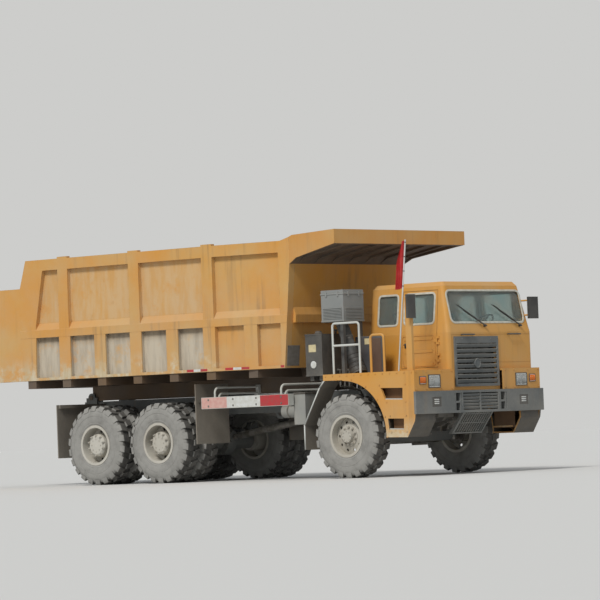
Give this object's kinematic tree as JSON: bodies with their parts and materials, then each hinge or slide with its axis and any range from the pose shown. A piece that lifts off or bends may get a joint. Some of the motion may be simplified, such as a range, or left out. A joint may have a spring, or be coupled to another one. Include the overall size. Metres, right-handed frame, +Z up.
{
  "type": "mining dump truck",
  "caption": "Wide-body mining dump truck: offset cab, walkway deck, ribbed dump body with front canopy, underbody hoists, three axles with twin rear wheels.",
  "frame": {"origin": "on the ground, below the middle of the whole truck", "axes": "+X forward, +Y to the truck's left, +Z up"},
  "size_m": [9.6, 3.3112, 4.036],
  "materials": {
    "cab_paint": "gloss yellow paint under dust",
    "body_paint": "matt yellow paint, scraped and dusty",
    "dark_paint": "dark grey paint under dust",
    "black_paint": "satin black paint",
    "pale_paint": "pale grey paint",
    "rim_paint": "dusty grey paint",
    "lamp_lens": "clear lens over a bright reflector",
    "glass": "tinted",
    "black_plastic": "matt",
    "seat_fabric": "woven",
    "flag_cloth": "faded red cloth",
    "grey_metal": "grey paint",
    "bare_steel": "oily steel",
    "tyre": "dusty rubber"
  },
  "bodies": {
    "chassis": {"chassis_frame": "dark_paint", "front_bumper": "dark_paint", "fender_right": "cab_paint", "fender_left": "cab_paint", "lamps": "lamp_lens", "cab_floor": "cab_paint", "cab_front": "cab_paint", "cab_rear": "cab_paint", "cab_roof": "cab_paint", "cab_side_right": "cab_paint", "cab_side_left": "cab_paint", "cab_glass": "glass", "grille": "dark_paint", "dashboard": "black_plastic", "cab_seats": "seat_fabric", "wipers_and_mirrors": "black_plastic", "handrails": "cab_paint", "pipe_rails": "pale_paint", "flag": "flag_cloth", "air_cleaner": "grey_metal", "oil_tank": "black_paint", "engine": "bare_steel", "muffler": "grey_metal", "fuel_tank": "grey_metal", "air_tanks": "grey_metal", "side_guards": "pale_paint", "mudflaps": "black_plastic", "axles": "dark_paint", "leaf_springs": "black_paint", "prop_shafts": "bare_steel"},
    "dump_body": {"body_floor": "body_paint", "body_side_right": "body_paint", "body_side_left": "body_paint", "headboard": "body_paint", "canopy": "body_paint", "body_sills": "body_paint"},
    "door_right": {"door_right": "cab_paint", "door_glass_right": "glass"},
    "door_left": {"door_left": "cab_paint", "door_glass_left": "glass"},
    "knuckle_right": {"knuckle_right": "bare_steel"},
    "knuckle_left": {"knuckle_left": "bare_steel"},
    "tie_rod": {"tie_rod": "bare_steel"},
    "hoist_barrels": {"hoist_barrels": "black_paint"},
    "hoist_rods": {"hoist_rods": "bare_steel"},
    "wheel_front_right": {"tyre_front_right": "tyre", "rim_front_right": "rim_paint"},
    "wheels_mid_right": {"tyres_mid_right": "tyre", "rims_mid_right": "rim_paint"},
    "wheels_rear_right": {"tyres_rear_right": "tyre", "rims_rear_right": "rim_paint"},
    "wheel_front_left": {"tyre_front_left": "tyre", "rim_front_left": "rim_paint"},
    "wheels_mid_left": {"tyres_mid_left": "tyre", "rims_mid_left": "rim_paint"},
    "wheels_rear_left": {"tyres_rear_left": "tyre", "rims_rear_left": "rim_paint"}
  },
  "joints": [
    {"name": "steer_right", "type": "hinge", "parent": "chassis", "child": "knuckle_right", "pos_m": [3.235, -1.13, 0.68], "axis": [0, 0, 1], "range_deg": [-35, 35]},
    {"name": "steer_left", "type": "hinge", "parent": "chassis", "child": "knuckle_left", "pos_m": [3.235, 1.13, 0.68], "axis": [0, 0, 1], "range_deg": [-35, 35]},
    {"name": "tie_rod_slide", "type": "slide", "parent": "chassis", "child": "tie_rod", "axis": [0, 1, 0], "range_m": [-0.1607, 0.1607]},
    {"name": "wheel_front_right", "type": "hinge", "parent": "knuckle_right", "child": "wheel_front_right", "pos_m": [3.235, -1.385, 0.68], "axis": [0, 1, 0], "continuous": true},
    {"name": "wheels_mid_right", "type": "hinge", "parent": "chassis", "child": "wheels_mid_right", "pos_m": [-0.965, -1.19, 0.68], "axis": [0, 1, 0], "continuous": true},
    {"name": "wheels_rear_right", "type": "hinge", "parent": "chassis", "child": "wheels_rear_right", "pos_m": [-2.465, -1.19, 0.68], "axis": [0, 1, 0], "continuous": true},
    {"name": "wheel_front_left", "type": "hinge", "parent": "knuckle_left", "child": "wheel_front_left", "pos_m": [3.235, 1.385, 0.68], "axis": [0, 1, 0], "continuous": true},
    {"name": "wheels_mid_left", "type": "hinge", "parent": "chassis", "child": "wheels_mid_left", "pos_m": [-0.965, 1.19, 0.68], "axis": [0, 1, 0], "continuous": true},
    {"name": "wheels_rear_left", "type": "hinge", "parent": "chassis", "child": "wheels_rear_left", "pos_m": [-2.465, 1.19, 0.68], "axis": [0, 1, 0], "continuous": true},
    {"name": "door_right_hinge", "type": "hinge", "parent": "chassis", "child": "door_right", "pos_m": [4.435, -0.63, 1.9], "axis": [0, 0, 1], "range_deg": [0, 65]},
    {"name": "door_left_hinge", "type": "hinge", "parent": "chassis", "child": "door_left", "pos_m": [4.435, 1.55, 1.9], "axis": [0, 0, -1], "range_deg": [0, 65]},
    {"name": "dump_hinge", "type": "hinge", "parent": "chassis", "child": "dump_body", "pos_m": [-3.615, 0, 1.51], "axis": [0, -1, 0], "range_deg": [0, 48]},
    {"name": "hoist_barrel_hinge", "type": "hinge", "parent": "chassis", "child": "hoist_barrels", "pos_m": [0.735, 0, 1.11], "axis": [0, 1, 0], "range_deg": [0, 19.6]},
    {"name": "hoist_rod_slide", "type": "slide", "parent": "hoist_barrels", "child": "hoist_rods", "axis": [-0.9782, 0, 0.2079], "range_m": [0, 1.2173]}
  ],
  "couplings": [
    {"joint": "steer_left", "follows": "steer_right", "ratio": 1},
    {"joint": "tie_rod_slide", "follows": "steer_right", "m_per_rad": -0.26291},
    {"joint": "hoist_barrel_hinge", "follows": "dump_hinge", "ratio": 0.40813},
    {"joint": "hoist_rod_slide", "follows": "dump_hinge", "m_per_rad": 1.4529}
  ]
}
